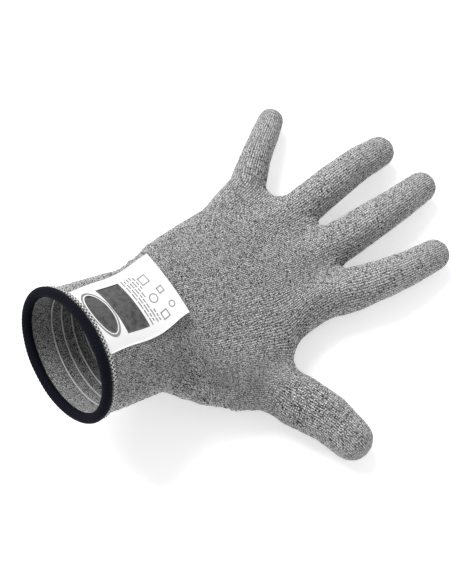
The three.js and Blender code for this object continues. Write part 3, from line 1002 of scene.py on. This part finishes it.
def knit_material():
    """Heather grey jersey: each stitch is a V of yarn, and each yarn has its own grey. Painted shade
    darkens the colour between the wales and between a stitch's legs.
    """
    shader = Shader("knit")
    u, v = shader.stitch()
    course, height = stitch_shape(shader, u, v)
    grey = shader.tint(heather_grey(shader, u, v, course), KNIT_DARK, KNIT_LIGHT)
    # Painted shade: the colour is darkened where the yarn lies low, between the wales and between the
    # legs.
    shade = shader.plus(shader.times(height, 1 - KNIT_VALLEY), KNIT_VALLEY)
    settings = {"data_type": "RGBA", "blend_type": "MULTIPLY"}
    shaded = shader.node("ShaderNodeMix", {0: 1.0, 6: grey, 7: shade}, **settings)
    fuzz = shader.noise(shader.position(), 2600.0)
    shader.bump(shader.plus(height, shader.times(fuzz, 0.35)), 0.75, KNIT_BUMP)
    return shader.finish(
        Base_Color=shaded.outputs[2], Roughness=0.94, Sheen_Weight=0.15, Specular_IOR_Level=0.18
    )


def yarn_material(name, dark, light, scale, sheen=0.2):
    """Plied sewing thread: a fine twist, with fibres that catch the light unevenly."""
    shader = Shader(name)
    place = shader.position()
    fibre = shader.noise(place, scale, 3.0)
    worn = shader.noise(place, scale / 14)
    share = shader.plus(shader.times(fibre, 0.6), shader.times(worn, 0.4))
    shader.bump(fibre, 0.5, 0.0002)
    colour = shader.tint(share, (*dark, 1), (*light, 1))
    return shader.finish(
        Base_Color=colour, Roughness=0.85, Sheen_Weight=sheen, Specular_IOR_Level=0.12
    )


def satin_material():
    """White woven satin: a weft that is finer than the knit, and a soft shine."""
    shader = Shader("satin")
    place = shader.position()
    weave = shader.noise(place, 3000.0)
    cloud = shader.noise(place, 70.0)
    shader.bump(weave, 0.12, 0.0001)
    colour = shader.tint(cloud, (0.84, 0.84, 0.84, 1), (0.93, 0.93, 0.93, 1))
    return shader.finish(
        Base_Color=colour, Roughness=0.42, Sheen_Weight=0.2, Specular_IOR_Level=0.4
    )


def ink_material(name, dark, light, scale):
    """Ink printed on the satin, thin where the weave shows through."""
    shader = Shader(name)
    patch = shader.noise(shader.position(), scale, 4.0)
    share = shader.minus(shader.math("SMOOTH_MIN", shader.times(patch, 1.6), 1.0), 0.35)
    return shader.finish(Base_Color=shader.tint(share, (*dark, 1), (*light, 1)), Roughness=0.5)


def floor_material():
    """A matt pale board with a barely visible tooth."""
    shader = Shader("floor")
    tooth = shader.noise(shader.position(), 900.0)
    colour = shader.tint(tooth, (0.91, 0.91, 0.91, 1), (0.95, 0.95, 0.95, 1))
    return shader.finish(
        Base_Color=colour,
        Roughness=0.95,
        Specular_IOR_Level=0.0,
        Emission_Color=(1, 1, 1, 1),
        Emission_Strength=FLOOR_GLOW,
    )


NAVY = ((0.0008, 0.0009, 0.0025), (0.0045, 0.005, 0.0135))  # each yarn's or ink's dark and light
WHITE = ((0.50, 0.50, 0.48), (0.86, 0.86, 0.84))
BLACK = ((0.004, 0.004, 0.007), (0.02, 0.02, 0.03))
SILVER = ((0.35, 0.35, 0.36), (0.66, 0.66, 0.67))
DARK_INK = ((0.012, 0.012, 0.013), (0.15, 0.15, 0.15))
GREY_INK = ((0.14, 0.14, 0.15), (0.34, 0.34, 0.35))
MATERIALS = {
    "knit": knit_material(),
    "hem": yarn_material("hem", *NAVY, 900.0, sheen=0.0),
    "thread": yarn_material("thread", *WHITE, 2200.0),
    "dark_thread": yarn_material("dark_thread", *BLACK, 2200.0),
    "elastic": yarn_material("elastic", *SILVER, 1800.0),
    "satin": satin_material(),
    "dark_ink": ink_material("dark_ink", *DARK_INK, 420.0),
    "grey_ink": ink_material("grey_ink", *GREY_INK, 700.0),
}

# ---- The knitted body ----

WRIST_ROWS = (-14, 16)
LEAST_BEND = 0.5  # length of knit that a joint needs

# How far along each digit from its root each bend of knit ends, and the joint it crosses.
BENDS = {
    "little": [("spread", 4.2), ("mcp", 11.0), ("pip", 20.0), (None, 26.5), ("dip", 37.0)],
    "ring": [("spread", 4.0), ("mcp", 14.5), ("pip", 30.0), (None, 36.0), ("dip", 50.0)],
    "middle": [("mcp", 14.5), ("pip", 29.5), (None, 35.0), ("dip", 48.5)],
    "index": [("spread", 4.8), ("mcp", 12.2), ("pip", 25.0), (None, 29.0), ("dip", 42.5)],
    "thumb": [("swing", 5.4), ("mp", 18.5), ("ip", 32.5)],
}


def ring_points(ray, row):
    """The outer and inner points of one course round a digit."""
    at = row - HEM_ROW
    outer = [KNIT["outer"][KNIT["fine"][ray, side][at]] for side in (0, 1)]
    inner = [KNIT["inner"][KNIT["coarse"][ray, side][at]] for side in (0, 1)]
    return np.concatenate(outer + inner)


def row_at(ray, distance):
    """The course whose middle is nearest to a distance along the digit from its root."""
    line = LINES[RAYS[ray]]
    goal = along_line(line, distance)
    piece = min(np.searchsorted(arc_lengths(line), distance, side="right") - 1, 2)
    along = unit(line[piece + 1] - line[piece])
    rows = range(root_row(ray) + 1, last_row(ray))
    return min(rows, key=lambda row: abs((ring_points(ray, row).mean(0) - goal) @ along))


def bend_knit(piece, joint, along, near_points, far_points):
    """Finds where a piece's span across a joint starts and ends, and raises if it is too short; then
    bakes the piece's transform.
    """
    start = ((near_points - joint) @ along).max()
    end = ((far_points - joint) @ along).min()
    if end - start < LEAST_BEND:
        raise ValueError(f"{piece.name} has no room to bend: {start:.1f} to {end:.1f}")
    at = [Vector((joint + along * distance) * MM) for distance in (start, end)]
    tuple(at[0])
    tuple(at[1])
    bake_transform(piece)


def bend_direction(ray, joint_name):
    """Along the digit at one of its joints."""
    line = LINES[ray]
    steps = [unit(line[i + 1] - line[i]) for i in range(3)]
    if joint_name in ("spread", "swing"):
        return level_direction(ray)
    if joint_name == "mcp":
        return steps[0]
    return unit(steps[0] + steps[1]) if joint_name in ("pip", "mp") else unit(steps[1] + steps[2])


CHILDREN = {"spread": "root", "swing": "root", "mcp": "proximal", "mp": "proximal"}
CHILDREN.update({"pip": "middle", "dip": "distal", "ip": "distal"})


def knit_digit(ray):
    """The bends of one digit, its rigid sections, and its closed tip."""
    name = RAYS[ray]
    row = root_row(ray)
    body = "palm"
    for joint, distance in BENDS[name]:
        last = row_at(ray, distance)
        if joint is None:
            piece = knit_piece(f"knit_{name}_middle", [(ray, row, last)])
            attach(piece, body)
        else:
            child = f"{name}_{CHILDREN[joint]}"
            piece = knit_piece(f"knit_{name}_{joint}", [(ray, row, last)])
            at, along = JOINTS[f"{name}_{joint}"], bend_direction(name, joint)
            bend_knit(piece, at, along, ring_points(ray, row), ring_points(ray, last))
            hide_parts(child)
            body = child
        row = last
    tip = knit_piece(f"knit_{name}_tip", [(ray, row, last_row(ray))])
    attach(tip, body)


def knit_body():
    """The cuff, the bend at the wrist, the palm, and the five digits."""
    low, high = WRIST_ROWS
    cuff = knit_piece("knit_cuff", [(ray, HEM_ROW, low) for ray in range(5)])
    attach(cuff, "cuff")
    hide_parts("wrist_cuff")
    wrist = knit_piece("knit_wrist", [(ray, low, high) for ray in range(5)])
    palm_end = np.concatenate([ring_points(ray, high) for ray in range(5)])
    cuff_end = np.concatenate([ring_points(ray, low) for ray in range(5)])
    along = unit(ALONG - [1, 0, 0])
    bend_knit(wrist, JOINTS["wrist_flex"], along, palm_end, cuff_end)
    palm = knit_piece("knit_palm", [(ray, high, root_row(ray)) for ray in range(5)])
    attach(palm, "palm")
    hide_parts("palm_upper", "palm_lower", "middle_root")
    for ray in range(5):
        knit_digit(ray)


# ---- Hem, overlock thread and elastic ----

HEM_RADIUS = 2.45
HEM_OFFSET = 2.6  # of the roll's centre, beyond the last course
HEM_STEPS = 420
HEM_SIDES = 18
CHAIN_LOOPS = 100
CHAIN_STEPS = 14
CHAIN_RADIUS = 0.38
CHAIN_INSET = 1.1  # of the chain's middle, from the last course
CHAIN_REACH = 0.72  # of its loops, to each side of that
NEEDLE_RADIUS = 0.30
ELASTIC_TURNS = 5
ELASTIC_STEPS = 90  # in one turn
ELASTIC_FROM = 20.0  # its first turn's distance from the wrist
ELASTIC_RUN = 30.0
ELASTIC_DEPTH = 2.0  # under the outside of the knit
ELASTIC_RADIUS = 0.42


def cuff_curve(distance, angle, height):
    """Points on the cuff and the directions out of it."""
    points = cuff_point(*np.broadcast_arrays(distance, angle, height))
    outs = cuff_point(*np.broadcast_arrays(distance, angle, height + 1.0)) - points
    return points, outs


def hem():
    """The rolled binding: overcast thread wound closely round it, pulled slightly uneven."""
    angle = full_turn(HEM_STEPS)
    centres, outs = cuff_curve(CUFF_LENGTH + HEM_OFFSET, angle, -WALL / 2)
    wound = np.sin(angle[:, None] * HEM_STEPS / 4 + full_turn(HEM_SIDES)[None, :])
    pulled = noise(centres, 9, 11)[:, None]
    radii = HEM_RADIUS * (1 + 0.05 * pulled) + 0.09 * wound
    made = sweep("hem_roll", centres, outs, radii, HEM_SIDES)
    dress(made, "hem", "cuff", ["cuff_hem"])


def overlock():
    """White thread that loops over the edge of the knit, and the dark needle thread in it."""
    turn = full_turn(CHAIN_LOOPS * CHAIN_STEPS)
    phase = turn * CHAIN_LOOPS
    middle = CUFF_LENGTH - CHAIN_INSET
    leaning = turn + 0.45 / CHAIN_LOOPS * np.sin(phase * 2)
    height = 0.75 + 0.16 * np.cos(phase * 2)
    curve = cuff_curve(middle + CHAIN_REACH * np.sin(phase), leaning, height)
    white = sweep("overlock_thread", *curve, CHAIN_RADIUS, sides=6)
    dress(white, "thread", "cuff", ["overlock_chain"])
    curve = cuff_curve(middle, turn, 0.92 + 0.36 * np.sin(phase))
    dark = sweep("needle_thread", *curve, NEEDLE_RADIUS, sides=6)
    dress(dark, "dark_thread", "cuff")


def elastic():
    """The covered elastic laid inside the cuff in one coil."""
    share = np.linspace(0, 1, ELASTIC_TURNS * ELASTIC_STEPS)
    angle = share * ELASTIC_TURNS * 2 * math.pi
    curve = cuff_curve(ELASTIC_FROM + ELASTIC_RUN * share, angle, -ELASTIC_DEPTH)
    radii = ELASTIC_RADIUS + 0.04 * np.sin(angle * 60)[:, None]
    made = sweep("elastic_coil", *curve, radii, sides=8, closed=False)
    dress(made, "elastic", "cuff", ["cuff_elastic_yarn"])


# ---- Label ----

LABEL_SIZE = (38.0, 51.0)
LABEL_THICKNESS = 0.35
LABEL_BENDS = (43.0, 170.0)  # radius across it, at the stitches and at the free end
LABEL_SKEW = math.radians(7.8)
LABEL_HEIGHTS = (0.3, 4.2)  # over the cuff, at the stitches and at the free end
LABEL_STITCHES = 0.9  # from the hem's edge of the knit
LABEL_SWAY = 4.0  # of its middle line, towards the thumb
LABEL_DIP = 1.6  # of its middle, into the bend of the wrist
LABEL_RIPPLE = 0.25
PRINT_TILT = -0.09  # the print slopes this much towards the hem as it nears the little finger
INK_THICKNESS = 0.06
INK_GAP = 0.01
BADGE = (0.4, 7.0, 13.6, 6.1)  # x, y and half sizes
PANEL = (-13.4, 13.2, 13.4, 26.8)  # from and to across the label, then along it
# The small print: how far along the label, and where each row of bars starts and ends across it.
PRINT_ROWS = [(28.4, 13.2, -13.4), (30.1, 12.6, -12.0), (31.8, 13.2, -13.4)]
PRINT_ROWS += [(33.5, 13.2, 0.0), (33.5, -7.0, -13.4), (35.2, 12.0, 4.5)]
PRINT_HEIGHT = 0.62
CIRCLES = [(-2.8, 37.3, 2.5, 0.8), (-10.6, 43.9, 1.8, 0.74)]  # x, y, radius, hollow share
SQUARES = [(7.8, 39.4, 2.5), (-1.3, 43.4, 1.8), (-12.6, 37.6, 2.1)]  # x, y, half side
LINE_WIDTH = 0.5


def label_axes():
    """The middle of the label's stitched edge, the way it runs from there, and its outward side."""
    stitches = CUFF_LENGTH - LABEL_STITCHES
    point = cuff_point(stitches, math.radians(0.5), LABEL_HEIGHTS[0])
    ahead = cuff_point(stitches - LABEL_SIZE[1], math.radians(0.5), LABEL_HEIGHTS[1])
    straight = unit(ahead - point - (ahead - point) @ LATERAL * LATERAL)
    out = unit(np.cross(straight, LATERAL))
    along = straight * math.cos(LABEL_SKEW) + LATERAL * math.sin(LABEL_SKEW)
    return point, along, out


LABEL_POINT, LABEL_ALONG, LABEL_OUT = label_axes()


def on_label(x, y, height):
    """A point of the label: x across it towards the little finger, y from the stitches."""
    share = np.clip(y / LABEL_SIZE[1], 0, 1)
    swell = np.sin(share * math.pi) ** 2 * share
    x = x - LABEL_SWAY * swell
    radius = LABEL_BENDS[0] + (LABEL_BENDS[1] - LABEL_BENDS[0]) * share**4
    bend = x / radius
    ripple = LABEL_RIPPLE * np.sin(share * 9 + x * 0.1) * share
    rise = radius * (np.cos(bend) - 1) - LABEL_DIP * swell + ripple + height
    across = (radius * np.sin(bend))[..., None] * LATERAL
    return LABEL_POINT + across + y[..., None] * LABEL_ALONG + rise[..., None] * LABEL_OUT


def slab(x, y, low, high, wrap):
    """Points and faces of a thin closed sheet over a grid of label places."""
    points = np.concatenate([on_label(x, y, height).reshape(-1, 3) for height in (high, low)])
    index = np.arange(x.size).reshape(x.shape)
    if wrap:
        index = np.column_stack([index, index[:, 0]])
    faces = quads(index).reshape(-1, 4).tolist()
    faces += quads(index + x.size).reshape(-1, 4)[:, ::-1].tolist()
    edges = [index[0][::-1], index[-1]]
    if not wrap:
        edges += [index[:, 0], index[::-1, -1]]
    for edge in edges:
        under = edge + x.size
        faces += np.stack([edge[1:], edge[:-1], under[:-1], under[1:]], -1).tolist()
    return points, faces


def stops(start, end, step):
    """Places from start to end in equal steps, none longer than "step"."""
    return np.linspace(start, end, max(2, math.ceil(abs(end - start) / step) + 1))


def rectangle(x0, x1, y0, y1, step=1.6):
    y, x = np.meshgrid(stops(y0, y1, step), stops(x0, x1, step), indexing="ij")
    return x, y, False


def oval(x, y, half_x, half_y, inner, sides=64):
    """A ring from "inner" of its size out to all of it."""
    angle = full_turn(sides)
    rings = max(2, math.ceil((1 - inner) * half_y / 0.8) + 1)
    scale = np.linspace(1.0, inner, rings)[:, None]
    return x + half_x * np.cos(angle) * scale, y + half_y * np.sin(angle) * scale, True


def box_outline(x, y, half):
    """A square outline as four bars."""
    hollow = half - LINE_WIDTH
    bars = []
    for low, high in ((-half, -hollow), (hollow, half)):
        bars.append(rectangle(x - half, x + half, y + low, y + high))
        bars.append(rectangle(x + low, x + high, y - hollow, y + hollow))
    return bars


def plain_lines():
    """Rows of short bars, where a label has its small print."""
    draws = random.Random(5)
    bars = []
    for at, first, last in PRINT_ROWS:
        x = first
        while x > last:
            long = draws.uniform(1.6, 4.6)
            bars.append(rectangle(max(x - long, last), x, at, at + PRINT_HEIGHT))
            x -= long + 0.7
    return bars


def printed(name, shapes, material):
    """All the shapes printed in one ink, as one thin piece on the label."""
    points, faces = [], []
    low = LABEL_THICKNESS + INK_GAP
    for x, y, wrap in shapes:
        shape_points, shape_faces = slab(x, y + PRINT_TILT * x, low, low + INK_THICKNESS, wrap)
        faces += [[corner + len(points) for corner in face] for face in shape_faces]
        points += shape_points.tolist()
    dress(make_object(name, points, faces), material, "label")


def label():
    """The satin, and what is printed on it: plain shapes, and no letters."""
    half, length = LABEL_SIZE[0] / 2, LABEL_SIZE[1]
    x, y, wrap = rectangle(-half, half, 0, length, 1.0)
    points, faces = slab(x, y, 0.0, LABEL_THICKNESS, wrap)
    made = make_object("satin_label", points, faces)
    dress(made, "satin", "label", ["label"])
    x, y, half_x, half_y = BADGE
    fill = oval(x, y, half_x * 0.85, half_y * 0.80, 0.005)
    printed("dark_print", [fill, rectangle(*PANEL)], "dark_ink")
    grey = [oval(*BADGE, 0.90)] + plain_lines()
    grey += [oval(x, y, radius, radius, inner, sides=28) for x, y, radius, inner in CIRCLES]
    for square in SQUARES:
        grey += box_outline(*square)
    printed("print", grey, "grey_ink")


# ---- Stage ----

CAMERA_AT = Vector((-131.7, -195.1, 500.3)) * MM
CAMERA_TO = Vector((-11.5, 4.9, 0.0)) * MM
CAMERA_LENS = 63.4
KEY_FROM = Vector((-0.15, 1.00, 1.15))
KEY_STRENGTH = 2.7
KEY_SOFTNESS = math.radians(36)
SKY = 0.64
FLOOR_GLOW = 0.42  # the board is lit from behind
FLOOR_HALF = 4.0  # metres, as the drop is
FLOOR_DROP = 0.0003


def floor():
    corners = ((-1, -1), (1, -1), (1, 1), (-1, 1))
    mesh = bpy.data.meshes.new("floor")
    points = [(x * FLOOR_HALF, y * FLOOR_HALF, -FLOOR_DROP) for x, y in corners]
    mesh.from_pydata(points, [], [(0, 1, 2, 3)])
    mesh.materials.append(floor_material())
    add_to_scene("floor", mesh)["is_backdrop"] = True


def key_light():
    light = bpy.data.lights.new("key", "SUN")
    light.energy = KEY_STRENGTH
    light.angle = KEY_SOFTNESS
    key = add_to_scene("key", light)
    key.rotation_mode = "QUATERNION"
    key.rotation_quaternion = KEY_FROM.to_track_quat("Z", "Y")


def studio():
    """Even light from all round, behind which the camera sees plain white."""
    scene = bpy.context.scene
    scene.world = bpy.data.worlds.new("studio")
    scene.world.use_nodes = True
    tree = scene.world.node_tree
    seen = tree.nodes.new("ShaderNodeLightPath").outputs["Is Camera Ray"]
    strength = tree.nodes.new("ShaderNodeMapRange")
    strength.inputs["To Min"].default_value = SKY
    background = tree.nodes["Background"]
    background.inputs["Color"].default_value = (1, 1, 1, 1)
    tree.links.new(seen, strength.inputs["Value"])
    tree.links.new(strength.outputs[0], background.inputs["Strength"])
    scene.view_settings.view_transform = "Standard"


def camera():
    data = bpy.data.cameras.new("camera")
    data.lens = CAMERA_LENS
    data.sensor_width = 36
    made = add_to_scene("camera", data)
    made.location = CAMERA_AT
    made.rotation_mode = "QUATERNION"
    made.rotation_quaternion = (CAMERA_TO - CAMERA_AT).to_track_quat("-Z", "Y")
    bpy.context.scene.camera = made


knit_body()
hem()
overlock()
elastic()
label()
floor()
key_light()
studio()
camera()

boxes = {"cad": cad_box, "visual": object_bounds()}
{key: [list(corner) for corner in value] for key, value in boxes.items()}
